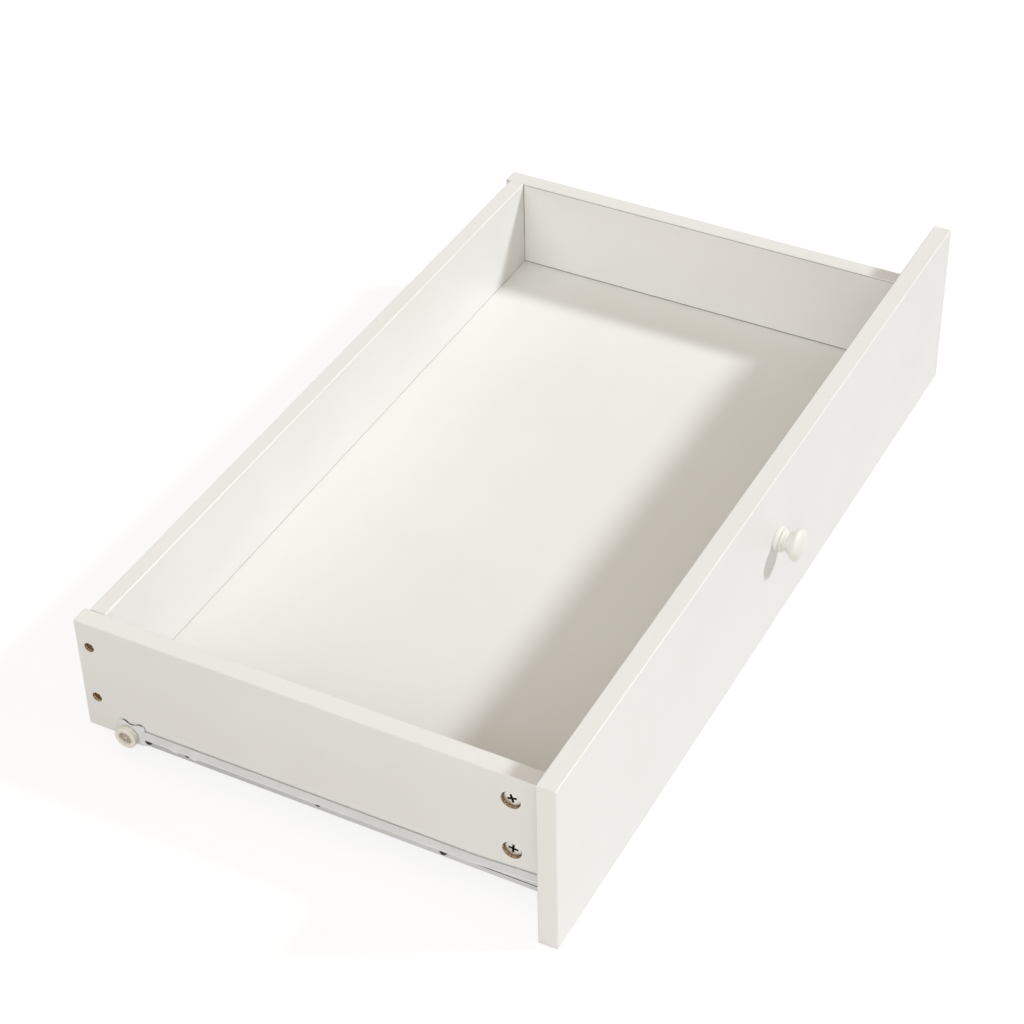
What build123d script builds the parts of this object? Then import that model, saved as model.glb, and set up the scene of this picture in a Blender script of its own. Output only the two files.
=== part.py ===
from build123d import *
import os

# A shallow drawer from under a house bed. A white board front with a turned knob closes a four-sided
# box, whose thin bottom lies in grooves. Cam locks draw the front onto the sides, screws hold the back,
# and a pressed steel runner with a nylon roller is screwed along the foot of each side.
#
# Millimetres. X runs across the drawer, Y from front to back and Z up. The origin is the middle of the
# front's bottom edge, halfway through its thickness.

# Boards of the front and the box
front_width = 730.0
front_height = 150.0
front_thick = 15.0
front_overhang = 30.0
side_length = 383.0
side_height = 100.0
side_thick = 15.0
side_lift = 15.0
back_thick = 13.5
back_inset = 4.0
bottom_thick = 3.2
groove_height = 15.5
groove_depth = 6.0
groove_play = 0.2
edge_ease = 0.7

# Fasteners share two heights on the side, counted from its bottom edge
fastener_low = 30.0
fastener_spacing = 48.0
fastener_gap = 0.05

# Cam locks, in blind bores from the side's outer face
cam_setback = 34.5
cam_bore_radius = 7.5
cam_bore_floor = 3.0
cam_gap = 0.1
cam_recess = 2.0
cam_hollow_radius = 4.95
cam_hollow_sides = 8
cam_hollow_offset = 0.8
cam_release = 180.0
cam_slack = 42.0
cam_cross_length = 6.6
cam_cross_width = 1.4
cam_cross_depth = 1.8
cam_turns = {"left_lower": -5.0, "left_upper": 16.0, "right_lower": 8.0, "right_upper": -9.0}

# Cam bolts, screwed into the front and hooked by the cam locks
bolt_radius = 3.0
bolt_bite = 11.0
bolt_neck_radius = 1.8
bolt_head_radius = 2.9
bolt_head_thick = 2.2
bolt_head_short = 0.8
bolt_bore_radius = 3.5
bolt_play = 0.25

# Screws through the sides into the back
back_screw_radius = 2.0
back_screw_length = 45.0
back_screw_head_radius = 3.7
back_screw_head_height = 2.4
back_screw_recess = 2.3
back_screw_bore_radius = 4.0

# Turned knob and its screw
knob_height = 87.0
foot_radius = 10.3
foot_width = 3.8
ring_radius = 8.9
ring_width = 3.0
neck_radius = 7.3
neck_width = 2.2
head_radius = 12.9
head_rise = 6.6
head_band = 2.4
head_crown = 3.8
crown_radius = 6.8
knob_screw_radius = 2.0
knob_screw_bite = 12.0
knob_screw_clearance = 0.3
knob_screw_head_radius = 4.0
knob_screw_head_height = 2.4

# Pressed steel runner, set back behind the front and ending at its roller
steel = 1.2
runner_setback = 5.0
runner_end_gap = 50.0
lip_width = 11.0
bend_inner = 0.6
bend_outer = 1.8
flange_height = 12.9
flange_width = 7.4
flange_corner = 2.5
ramp_length = 57.0
ramp_rise = 3.8
slit_height = 4.2
slit_width = 0.8
stop_dips = ((46.0, 1.9), (30.0, 1.4))
dip_half_length = 5.0
front_hole_past_ramp = 25.5
other_web_holes = (144.5, 35.5, 3.0)
web_hole_height = 5.0
web_hole_radius = 2.4

# Lug that carries the roller, set out from the board
lug_joggle = 1.0
joggle_run = 3.0
lug_peak = 4.8
lug_peak_width = 3.0
lug_saddle = 2.2
lug_saddle_width = 5.0

# Roller and the rivet it turns on
roller_past_flange = 13.6
roller_height = 5.6
roller_radius = 8.8
roller_inner_gap = 0.4
roller_width = 4.8
roller_recess_radius = 5.4
roller_recess_depth = 2.5
rivet_radius = 2.5
rivet_running_gap = 0.05
rivet_head_radius = 4.7
rivet_head_thick = 0.8
rivet_side_play = 0.3

# Screws that hold the runner, in its first and last web holes
runner_screw_holes = (0, 3)
runner_screw_radius = 1.6
runner_screw_length = 13.0
runner_screw_head_radius = 2.9
runner_screw_head_height = 1.5

# Places that follow from the sizes above
box_half = front_width / 2 - front_overhang
inner_half = box_half - side_thick
side_start = front_thick / 2
side_end = side_start + side_length
back_end = side_end - back_inset
back_start = back_end - back_thick
back_middle = (back_start + back_end) / 2
bottom_level = side_lift + groove_height
groove_width = bottom_thick + groove_play
bottom_half = inner_half + groove_depth - groove_play
bottom_start = side_start - groove_depth + groove_play
bottom_end = back_start + groove_depth - groove_play
fastener_levels = {
    "lower": side_lift + fastener_low,
    "upper": side_lift + fastener_low + fastener_spacing,
}
cam_station = side_start + cam_setback
cam_bore_depth = side_thick - cam_bore_floor
cam_radius = cam_bore_radius - cam_gap
bolt_middle = side_thick / 2
runner_start = side_start + runner_setback
flange_length = side_length - runner_setback - runner_end_gap
web_hole_stations = [ramp_length + front_hole_past_ramp]
web_hole_stations += [flange_length - place for place in other_web_holes]
roller_station = flange_length + roller_past_flange
lug_face = lug_joggle + steel
roller_inner = lug_face + roller_inner_gap
roller_outer = roller_inner + roller_width

os.makedirs("parts", exist_ok=True)


def keep(piece, label):
    """Label a finished piece and write it to its own file."""
    piece.part.label = label
    export_step(piece.part, f"parts/{label}.step")


def outer_face(hand, station, level, turn=0):
    """Plane on a side's outer face, X turned from the front; hand is -1 on the left and 1 on the right."""
    x_dir = Vector(0, -1, 0).rotate(Axis.X, hand * turn)
    return Plane(origin=(hand * box_half, station, level), x_dir=x_dir, z_dir=(hand, 0, 0))


def mirrored(piece):
    """The right-hand twin of a left-hand piece."""
    with BuildPart() as twin:
        mirror(piece.part, about=Plane.YZ)
    return twin


def turned(seat, outline):
    """Turn an outline of (distance along the axis, radius) points about the seat's X direction."""
    with BuildPart() as piece:
        with BuildSketch(seat):
            with BuildLine():
                Polyline(*outline, close=True)
            make_face()
        revolve(axis=Axis(seat.origin, seat.x_dir))
    return piece


def screw(seat, head_radius, head_height, shank_radius, shank_length):
    """Screw whose round head stands on the seat plane and whose shank runs the other way."""
    with BuildPart() as piece:
        with BuildSketch(seat):
            Circle(head_radius)
        extrude(amount=head_height)
        with BuildSketch(seat):
            Circle(shank_radius)
        extrude(amount=-shank_length)
    return piece


# The front: one board with eased edges, a stopped groove for the bottom, pilot holes for the cam bolts
# and a clear hole for the knob's screw
with BuildPart() as drawer_front:
    with BuildSketch():
        Rectangle(front_width, front_thick)
    extrude(amount=front_height)
    chamfer(drawer_front.edges(), edge_ease)
    with BuildSketch(Plane.XY.offset(bottom_level)):
        with Locations((0, side_start)):
            Rectangle(2 * (inner_half + groove_depth), groove_depth, align=(Align.CENTER, Align.MAX))
    extrude(amount=groove_width, mode=Mode.SUBTRACT)
    bolt_seats = [
        Plane(origin=(hand * (box_half - bolt_middle), side_start, level), z_dir=(0, 1, 0))
        for hand in (-1, 1)
        for level in fastener_levels.values()
    ]
    with Locations(*bolt_seats):
        Hole(bolt_radius + fastener_gap, bolt_bite + fastener_gap)
    with Locations(Plane(origin=(0, side_start, knob_height), z_dir=(0, 1, 0))):
        Hole(knob_screw_radius + knob_screw_clearance)
keep(drawer_front, "drawer_front")

# A side: bored for the cam locks, their bolts and the back's screws, and grooved from end to end
with BuildPart() as side_left:
    with BuildSketch(Plane.XY.offset(side_lift)):
        with Locations((-box_half, side_start)):
            Rectangle(side_thick, side_length, align=(Align.MIN, Align.MIN))
    extrude(amount=side_height)
    butt_edges = side_left.edges().group_by(Axis.Y)[0]
    chamfer(side_left.edges() - butt_edges, edge_ease)
    with BuildSketch(Plane.XY.offset(bottom_level)):
        with Locations((-inner_half, side_start)):
            Rectangle(groove_depth, side_length, align=(Align.MAX, Align.MIN))
    extrude(amount=groove_width, mode=Mode.SUBTRACT)
    for level in fastener_levels.values():
        with Locations(outer_face(-1, cam_station, level)):
            Hole(cam_bore_radius, cam_bore_depth)
        with Locations(Plane(origin=(bolt_middle - box_half, side_start, level), z_dir=(0, -1, 0))):
            Hole(bolt_bore_radius, cam_setback)
        with Locations(outer_face(-1, back_middle, level)):
            CounterBoreHole(
                back_screw_radius + fastener_gap,
                back_screw_bore_radius,
                back_screw_recess + back_screw_head_height,
                side_thick,
            )
    for hole in runner_screw_holes:
        station = runner_start + web_hole_stations[hole]
        with Locations(outer_face(-1, station, side_lift + web_hole_height)):
            Hole(runner_screw_radius + fastener_gap, runner_screw_length)
side_right = mirrored(side_left)
keep(side_left, "side_left")
keep(side_right, "side_right")

# The back: stands between the sides, a little in from their ends
with BuildPart() as back_panel:
    with BuildSketch(Plane.XY.offset(side_lift)):
        with Locations((0, back_start)):
            Rectangle(2 * inner_half, back_thick, align=(Align.CENTER, Align.MIN))
    extrude(amount=side_height)
    chamfer(back_panel.edges().filter_by(Axis.X), edge_ease)
    with BuildSketch(Plane.XY.offset(bottom_level)):
        with Locations((0, back_start)):
            Rectangle(2 * inner_half, groove_depth, align=(Align.CENTER, Align.MIN))
    extrude(amount=groove_width, mode=Mode.SUBTRACT)
    screw_floor = back_screw_recess + back_screw_head_height
    for level in fastener_levels.values():
        for hand in (-1, 1):
            with Locations(Plane(origin=(hand * inner_half, back_middle, level), z_dir=(hand, 0, 0))):
                Hole(back_screw_radius + fastener_gap, back_screw_length + screw_floor - side_thick)
keep(back_panel, "back_panel")

# The bottom: a thin sheet that lies on the lower lip of the grooves
with BuildPart() as bottom_panel:
    with BuildSketch(Plane.XY.offset(bottom_level)):
        with Locations((0, bottom_start)):
            Rectangle(2 * bottom_half, bottom_end - bottom_start, align=(Align.CENTER, Align.MIN))
    extrude(amount=bottom_thick)
keep(bottom_panel, "bottom_panel")

# The knob: turned in one piece, with a foot, a ring, a hollow neck and a crowned head
ring_end = foot_width + ring_width
neck_end = ring_end + neck_width
rim_start = neck_end + head_rise
rim_end = rim_start + head_band
knob = turned(
    Plane(origin=(0, -side_start, knob_height), x_dir=(0, -1, 0), z_dir=(1, 0, 0)),
    (
        (0, 0),
        (0, foot_radius),
        (foot_width, foot_radius),
        (foot_width, ring_radius),
        (ring_end, ring_radius),
        (ring_end, neck_radius),
        (neck_end, neck_radius),
        (rim_start, head_radius),
        (rim_end, head_radius),
        (rim_end + head_crown, crown_radius),
        (rim_end + head_crown, 0),
    ),
)
with knob:
    with Locations(Plane(origin=(0, -side_start, knob_height), z_dir=(0, 1, 0))):
        Hole(knob_screw_radius + fastener_gap, knob_screw_bite + fastener_gap)
keep(knob, "knob")

knob_screw = screw(
    Plane(origin=(0, side_start, knob_height), z_dir=(0, 1, 0)),
    knob_screw_head_radius,
    knob_screw_head_height,
    knob_screw_radius,
    front_thick + knob_screw_bite,
)
keep(knob_screw, "knob_screw")


def cam_bolt(hand, level):
    """Bolt from the front into the side, ending in the head that the cam lock hooks."""
    seat = Plane(
        origin=(hand * (box_half - bolt_middle), side_start, level), x_dir=(0, 1, 0), z_dir=(1, 0, 0)
    )
    head_end = cam_setback - bolt_head_short
    head_start = head_end - bolt_head_thick
    neck_start = cam_setback - cam_radius - 2 * bolt_play
    return turned(
        seat,
        (
            (-bolt_bite, 0),
            (-bolt_bite, bolt_radius),
            (neck_start, bolt_radius),
            (neck_start, bolt_neck_radius),
            (head_start, bolt_neck_radius),
            (head_start, bolt_head_radius),
            (head_end, bolt_head_radius),
            (head_end, 0),
        ),
    )


def cam_lock(hand, level, turn):
    """Drum with an off-centre hollow for the bolt's head and a slot that lets the neck sweep round.

    The mouth opposite the slot's start lets the head out when the drum has turned through its release.
    """
    face = outer_face(hand, cam_station, level, turn).offset(-cam_recess)
    throat = face.offset(cam_recess - bolt_middle)
    head_room = bolt_head_radius + bolt_play
    reach = cam_radius + cam_gap
    with BuildPart() as cam:
        with BuildSketch(face):
            Circle(cam_radius)
        extrude(amount=cam_recess + cam_gap - cam_bore_depth)
        with BuildSketch(throat):
            with Locations((-cam_hollow_offset, 0)):
                RegularPolygon(cam_hollow_radius, cam_hollow_sides, major_radius=False)
        extrude(amount=head_room, both=True, mode=Mode.SUBTRACT)
        with BuildSketch(throat):
            Rectangle(reach, 2 * head_room, align=(Align.MAX, Align.CENTER))
        extrude(amount=head_room, both=True, mode=Mode.SUBTRACT)
        with BuildSketch(throat):
            with BuildLine():
                sweep_arc = CenterArc((0, 0), reach, -cam_release - cam_slack, cam_release + 2 * cam_slack)
                Polyline(sweep_arc @ 1, (0, 0), sweep_arc @ 0)
            make_face()
        extrude(amount=bolt_neck_radius + bolt_play, both=True, mode=Mode.SUBTRACT)
        with BuildSketch(face):
            Rectangle(cam_cross_length, cam_cross_width)
            Rectangle(cam_cross_width, cam_cross_length)
        extrude(amount=-cam_cross_depth, mode=Mode.SUBTRACT)
    return cam


hands = {"left": -1, "right": 1}
for hand_name, hand in hands.items():
    for level_name, level in fastener_levels.items():
        place = f"{hand_name}_{level_name}"
        keep(cam_bolt(hand, level), f"cam_bolt_{place}")
        keep(cam_lock(hand, level, cam_turns[place]), f"cam_lock_{place}")
        back_screw = screw(
            outer_face(hand, back_middle, level).offset(-back_screw_recess - back_screw_head_height),
            back_screw_head_radius,
            back_screw_head_height,
            back_screw_radius,
            back_screw_length,
        )
        keep(back_screw, f"back_screw_{place}")


def runner_section(station, reach, rise):
    """Bent section of the runner's strip: lip under the side, web up its face, flange out to reach."""
    top = flange_height + rise
    plane = Plane(
        origin=(-box_half, runner_start + station, side_lift), x_dir=(-1, 0, 0), z_dir=(0, 1, 0)
    )
    with BuildSketch(plane) as section:
        with BuildLine():
            under = FilletPolyline(
                (-lip_width, -steel),
                (steel, -steel),
                (steel, top - steel),
                (reach, top - steel),
                radius=(bend_outer, bend_inner),
            )
            over = FilletPolyline(
                (-lip_width, 0), (0, 0), (0, top), (reach, top), radius=(bend_inner, bend_outer)
            )
            Line(under @ 0, over @ 0)
            Line(under @ 1, over @ 1)
        make_face()
    return section


def runner_side(outward):
    """Plane along the left runner, X towards the back and Y up, at a distance out from the board."""
    return Plane(
        origin=(-box_half - outward, runner_start, side_lift), x_dir=(0, 1, 0), z_dir=(1, 0, 0)
    )


runner_plan = Plane(origin=runner_side(0).origin, x_dir=(0, 1, 0), z_dir=(0, 0, 1))


def dent(station, depth, level):
    """Pyramid that dents the flange: its base lies at the level, and its tip on the outer edge below."""
    with BuildSketch(runner_plan.offset(level)) as base:
        with Locations((station, bend_outer)):
            Rectangle(2 * dip_half_length, flange_width - bend_outer, align=(Align.CENTER, Align.MIN))
    tip = runner_side(flange_width).from_local_coords((station, level - depth))
    return loft([base.sketch.face(), Vertex(tip)], ruled=True, mode=Mode.PRIVATE)


# The lug: a flat ear joggled out from the board, cut to an outline with a saddle between two peaks
lug_reach = roller_height + steel
lug_end = roller_station + lug_reach
with BuildPart() as lug:
    with BuildSketch(runner_plan):
        with BuildLine():
            Polyline(
                (flange_length, 0),
                (flange_length + joggle_run, lug_joggle),
                (lug_end, lug_joggle),
                (lug_end, lug_face),
                (flange_length + joggle_run, lug_face),
                (flange_length, steel),
                close=True,
            )
        make_face()
    extrude(amount=flange_height + lug_peak + steel, both=True)
    with BuildSketch(runner_side(0)):
        with BuildLine():
            peak_level = flange_height + lug_peak
            lug_middle = (flange_length + lug_end) / 2
            foot = Line((flange_length, -steel), (roller_station, -steel))
            heel = CenterArc((roller_station, roller_height), lug_reach, -90, 90)
            rear = Line(heel @ 1, (lug_end, flange_height))
            crest = Polyline(
                rear @ 1,
                (lug_end, peak_level),
                (lug_end - lug_peak_width, peak_level),
                (lug_middle + lug_saddle_width / 2, flange_height + lug_saddle),
                (lug_middle - lug_saddle_width / 2, flange_height + lug_saddle),
                (flange_length + lug_peak_width, peak_level),
                (flange_length, peak_level),
            )
            Line(crest @ 1, foot @ 0)
        make_face()
    extrude(amount=-lug_face, mode=Mode.INTERSECT)

# The runner: the strip rises to its front end over the ramp, where a slit frees the flange from the
# foot of the web, and the flange's outer edge dips twice near the back to stop the drawer
with BuildPart() as runner_left:
    ramp_front = runner_section(0, flange_width, ramp_rise)
    ramp_back = runner_section(ramp_length, flange_width, 0)
    loft([ramp_front.sketch, ramp_back.sketch], ruled=True)
    extrude(ramp_back.sketch, amount=flange_length - ramp_length)
    for place, depth in stop_dips:
        add(dent(flange_length - place, depth, flange_height - steel))
        add(dent(flange_length - place, depth, flange_height), mode=Mode.SUBTRACT)
    flange_tip = (-box_half - flange_width, runner_start + flange_length, side_lift + flange_height)
    with BuildSketch(Plane(origin=flange_tip, x_dir=(1, 0, 0), z_dir=(0, 0, 1))):
        with BuildLine():
            corner_arc = CenterArc((flange_corner, -flange_corner), flange_corner, 90, 90)
            Polyline(corner_arc @ 1, (0, 0), corner_arc @ 0)
        make_face()
    extrude(amount=-steel, mode=Mode.SUBTRACT)
    add(lug.part)
    with BuildSketch(runner_side(0)):
        with Locations((0, slit_height)):
            Rectangle(ramp_length, slit_width, align=(Align.MIN, Align.MIN))
    extrude(amount=-steel, mode=Mode.SUBTRACT)
    for hole_station in web_hole_stations:
        with Locations(outer_face(-1, runner_start + hole_station, side_lift + web_hole_height)):
            Hole(web_hole_radius, steel)
    with Locations(outer_face(-1, runner_start + roller_station, side_lift + roller_height)):
        Hole(rivet_radius, lug_face)
runner_right = mirrored(runner_left)
keep(runner_left, "runner_left")
keep(runner_right, "runner_right")

for hand_name, hand in hands.items():
    for hole, place in zip(runner_screw_holes, ("front", "rear")):
        station = runner_start + web_hole_stations[hole]
        runner_screw = screw(
            outer_face(hand, station, side_lift + web_hole_height).offset(steel),
            runner_screw_head_radius,
            runner_screw_head_height,
            runner_screw_radius,
            runner_screw_length,
        )
        keep(runner_screw, f"runner_screw_{hand_name}_{place}")


def roller_seat(hand):
    """Plane through the roller's axle, X pointing out from the board's face."""
    return Plane(
        origin=(hand * box_half, runner_start + roller_station, side_lift + roller_height),
        x_dir=(hand, 0, 0),
        z_dir=(0, 1, 0),
    )


# The rollers: moulded wheels with rounded treads and a recess for the rivet's head
for hand_name, hand in hands.items():
    seat = roller_seat(hand)
    bore = rivet_radius + rivet_running_gap
    with BuildPart() as roller:
        with BuildSketch(seat):
            with BuildLine():
                Polyline(
                    (roller_inner, bore),
                    (roller_inner, roller_radius),
                    (roller_outer, roller_radius),
                    (roller_outer, roller_recess_radius),
                    (roller_outer - roller_recess_depth, roller_recess_radius),
                    (roller_outer - roller_recess_depth, bore),
                    close=True,
                )
            make_face()
        revolve(axis=Axis(seat.origin, seat.x_dir))
    keep(roller, f"roller_{hand_name}")
    head_base = roller_outer - roller_recess_depth + rivet_side_play
    rivet = turned(
        seat,
        (
            (lug_joggle, 0),
            (lug_joggle, rivet_radius),
            (head_base, rivet_radius),
            (head_base, rivet_head_radius),
            (head_base + rivet_head_thick, rivet_head_radius),
            (head_base + rivet_head_thick, 0),
        ),
    )
    keep(rivet, f"roller_rivet_{hand_name}")
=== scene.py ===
import math

import bmesh
import bpy
from mathutils import Matrix, Vector


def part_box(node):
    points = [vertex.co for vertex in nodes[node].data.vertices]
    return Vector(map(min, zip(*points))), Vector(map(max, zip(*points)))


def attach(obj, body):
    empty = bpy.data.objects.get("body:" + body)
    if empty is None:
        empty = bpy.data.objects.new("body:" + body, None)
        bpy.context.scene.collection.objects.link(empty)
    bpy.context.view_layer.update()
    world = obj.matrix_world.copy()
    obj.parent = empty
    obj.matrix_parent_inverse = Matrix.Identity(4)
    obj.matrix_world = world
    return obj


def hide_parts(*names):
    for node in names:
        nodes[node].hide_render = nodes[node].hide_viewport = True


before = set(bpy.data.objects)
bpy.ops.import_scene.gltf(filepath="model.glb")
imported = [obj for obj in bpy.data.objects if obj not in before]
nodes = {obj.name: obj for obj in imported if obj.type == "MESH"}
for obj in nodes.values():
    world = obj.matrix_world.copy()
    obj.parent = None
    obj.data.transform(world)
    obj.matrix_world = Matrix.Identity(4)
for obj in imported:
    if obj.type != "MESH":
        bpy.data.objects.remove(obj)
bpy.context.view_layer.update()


# The front, the two sides and the back are cut from 15 mm chipboard with a white satin coating on every
# face. Their edges are eased before the coating goes on, and they meet in butt joints.
board_white = (0.805, 0.80, 0.785)
board_shade = (0.785, 0.777, 0.757)
board_gloss = 0.42
board_peel = 0.00004
board_round = 0.0007
raw_board = (0.40, 0.265, 0.15)
raw_chip = (0.21, 0.13, 0.065)
raw_flake = (0.58, 0.44, 0.28)
# Near black painted shade for gaps, slits and the depths of holes.
painted_shade_tone = (0.06, 0.052, 0.045)


def shader(name, finish):
    """New material with its own shader, gloss and object coordinates, ready for its grain."""
    material = bpy.data.materials.new(name)
    material.use_nodes = True
    tree = material.node_tree
    coat = tree.nodes["Principled BSDF"]
    for socket, value in finish.items():
        coat.inputs[socket].default_value = value
    place = tree.nodes.new("ShaderNodeTexCoord").outputs["Object"]
    return material, tree, coat, place


def cloud(tree, place, size, detail=3.0):
    """Soft noise whose blotches are about the given size in metres."""
    noise = tree.nodes.new("ShaderNodeTexNoise")
    noise.inputs["Scale"].default_value = 1 / size
    noise.inputs["Detail"].default_value = detail
    tree.links.new(place, noise.inputs["Vector"])
    return noise.outputs["Fac"]


def blend_tones(tree, share, first, second):
    """Colour that goes from the first tone to the second with the share."""
    mix = tree.nodes.new("ShaderNodeMix")
    mix.data_type = "RGBA"
    tree.links.new(share, mix.inputs["Factor"])
    for socket, tone in ((mix.inputs[6], first), (mix.inputs[7], second)):
        if isinstance(tone, tuple):
            socket.default_value = (*tone, 1)
        else:
            tree.links.new(tone, socket)
    return mix.outputs[2]


def spread(tree, value, low, high):
    """Noise value spread from its usual middle range over low to high."""
    ramp = tree.nodes.new("ShaderNodeMapRange")
    ramp.inputs["From Min"].default_value = 0.3
    ramp.inputs["From Max"].default_value = 0.7
    ramp.inputs["To Min"].default_value = low
    ramp.inputs["To Max"].default_value = high
    tree.links.new(value, ramp.inputs["Value"])
    return ramp.outputs["Result"]


def relief(tree, coat, height, depth, under=None):
    """Fine relief of the given depth in metres, laid over another one or over the plain surface."""
    bump = tree.nodes.new("ShaderNodeBump")
    bump.inputs["Strength"].default_value = 1.0
    bump.inputs["Distance"].default_value = depth
    tree.links.new(height, bump.inputs["Height"])
    if under is not None:
        tree.links.new(under, bump.inputs["Normal"])
    tree.links.new(bump.outputs["Normal"], coat.inputs["Normal"])
    return bump.outputs["Normal"]


def join(tree, operation, first, second):
    """Two values put together by one operation."""
    node = tree.nodes.new("ShaderNodeMath")
    node.operation = operation
    for socket, value in ((node.inputs[0], first), (node.inputs[1], second)):
        if isinstance(value, (int, float)):
            socket.default_value = value
        else:
            tree.links.new(value, socket)
    return node.outputs["Value"]


def near_axis(tree, place, centre, radius):
    """1 close to a line along X through the centre, and 0 elsewhere."""
    flat = tree.nodes.new("ShaderNodeVectorMath")
    flat.operation = "MULTIPLY"
    flat.inputs[1].default_value = (0, 1, 1)
    tree.links.new(place, flat.inputs[0])
    gap = tree.nodes.new("ShaderNodeVectorMath")
    gap.operation = "DISTANCE"
    gap.inputs[1].default_value = (0, centre[1], centre[2])
    tree.links.new(flat.outputs["Vector"], gap.inputs[0])
    return join(tree, "LESS_THAN", gap.outputs["Value"], radius)


def within(tree, parts, limits):
    """1 inside a box whose limits are given by axis, and 0 elsewhere; X counts from the middle outward."""
    share = None
    for axis, (low, high) in limits.items():
        value = parts.outputs[axis]
        if axis == "X":
            value = join(tree, "ABSOLUTE", value, 0.0)
        for operation, limit in (("GREATER_THAN", low), ("LESS_THAN", high)):
            side = join(tree, operation, value, limit)
            share = side if share is None else join(tree, "MULTIPLY", share, side)
    return share


def bare_share(tree, place, bores, cuts):
    """Share that is 1 in the given bores and cuts, used both where they go through the coating and where
    shade is painted.
    """
    parts = tree.nodes.new("ShaderNodeSeparateXYZ")
    tree.links.new(place, parts.inputs["Vector"])
    shares = [within(tree, parts, limits) for limits in cuts]
    for centre, radius, limits in bores:
        bore = near_axis(tree, place, centre, radius)
        shares.append(join(tree, "MULTIPLY", bore, within(tree, parts, limits)))
    share = shares[0]
    for other in shares[1:]:
        share = join(tree, "MAXIMUM", share, other)
    return share


def chipboard(tree, place):
    """Colour of bare chipboard: brown chips with paler flakes."""
    chips = tree.nodes.new("ShaderNodeTexVoronoi")
    chips.inputs["Scale"].default_value = 900
    tree.links.new(place, chips.inputs["Vector"])
    wood = blend_tones(tree, spread(tree, cloud(tree, place, 0.0009, 4.0), 0.0, 1.0), raw_chip, raw_board)
    return blend_tones(tree, join(tree, "GREATER_THAN", chips.outputs["Distance"], 0.55), wood, raw_flake)


def coated_board(name, tones, gloss, bores=(), cuts=(), painted_shade_bores=(), painted_shade_cuts=()):
    """White coating with a faint orange peel, bare chipboard in bores and cuts, and painted shade in open
    joints and deep holes.
    """
    material, tree, coat, place = shader(name, {"Roughness": gloss, "IOR": 1.46})
    colour = blend_tones(tree, spread(tree, cloud(tree, place, 0.09), 0.0, 1.0), *tones)
    peel = cloud(tree, place, 0.0016, 2.0)
    if bores or cuts:
        share = bare_share(tree, place, bores, cuts)
        colour = blend_tones(tree, share, colour, chipboard(tree, place))
        rough = tree.nodes.new("ShaderNodeMix")
        rough.inputs["A"].default_value = gloss
        rough.inputs["B"].default_value = 0.9
        tree.links.new(share, rough.inputs["Factor"])
        tree.links.new(rough.outputs["Result"], coat.inputs["Roughness"])
        chips = join(tree, "MULTIPLY", share, cloud(tree, place, 0.0007, 5.0))
        peel = join(tree, "ADD", peel, join(tree, "MULTIPLY", chips, 8.0))
    # Shade is painted over the colour in the given bores and cuts.
    if painted_shade_bores or painted_shade_cuts:
        colour = blend_tones(tree, bare_share(tree, place, painted_shade_bores, painted_shade_cuts), colour, painted_shade_tone)
    tree.links.new(colour, coat.inputs["Base Color"])
    eased = tree.nodes.new("ShaderNodeBevel")
    eased.samples = 6
    eased.inputs["Radius"].default_value = board_round
    relief(tree, coat, peel, board_peel, eased.outputs["Normal"])
    return material


def dress(node, material):
    """Give a CAD node one material all over."""
    nodes[node].data.materials.clear()
    nodes[node].data.materials.append(material)


def middle(node):
    """Centre of a CAD node's box."""
    low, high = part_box(node)
    return (low + high) / 2


bottom_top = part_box("bottom_panel")[1].z
front_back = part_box("side_left")[0].y
back_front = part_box("back_panel")[0].y
side_outer = -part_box("side_left")[0].x
side_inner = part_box("back_panel")[1].x
groove_line = {"Z": (bottom_top - 0.0036, bottom_top + 0.0004)}
groove_floor = 0.0062
bore_wall = {"X": (side_inner + 0.0008, side_outer - 0.0001)}
levels = ("lower", "upper")
cam_bore = 0.0077
screw_bore = 0.0042
side_bores = [(middle(f"cam_lock_left_{level}"), cam_bore, bore_wall) for level in levels]
side_bores += [(middle(f"back_screw_left_{level}"), screw_bore, bore_wall) for level in levels]
side_cuts = (
    {**groove_line, "X": (side_inner - 0.0005, side_inner + groove_floor)},
    {"X": (side_inner - 0.0005, side_inner + 0.0001), "Y": (back_front - 0.0003, back_front + 0.0001)},
)
front_cuts = (
    {
        **groove_line,
        "X": (-0.001, side_inner + groove_floor),
        "Y": (front_back - groove_floor, front_back + 0.0005),
    },
)
back_cuts = ({**groove_line, "Y": (back_front - 0.0005, back_front + groove_floor)},)
side_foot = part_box("side_left")[0].z
side_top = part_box("side_left")[1].z
runner_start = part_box("runner_left")[0].y
inner_skin = (side_inner - 0.0005, side_inner + 0.0003)
outer_skin = (side_outer - 0.0003, side_outer + 0.0003)
deep_in_screw_bore = {"X": (side_outer - 0.0060, side_outer - 0.0024)}
deep_in_cam_bore = {"X": (side_outer - 0.0040, side_outer - 0.0027)}
# Painted shade on the side's face, behind the runner's open holes and its lug: along, up, radius.
runner_shades = (
    (0.1835, 0.0050, 0.0024),
    (0.2925, 0.0050, 0.0024),
    (0.3320, 0.0130, 0.0043),
    (0.3455, 0.0133, 0.0039),
)
painted_shade_spots = [
    ((0, runner_start + station, side_foot + height), radius, {"X": outer_skin})
    for station, height, radius in runner_shades
]
# Shade is painted deep in the screw and cam bores too.
painted_shade_spots += [(centre, radius, deep_in_screw_bore) for centre, radius, _ in side_bores[2:]]
painted_shade_spots += [(centre, radius, deep_in_cam_bore) for centre, radius, _ in side_bores[:2]]
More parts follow.
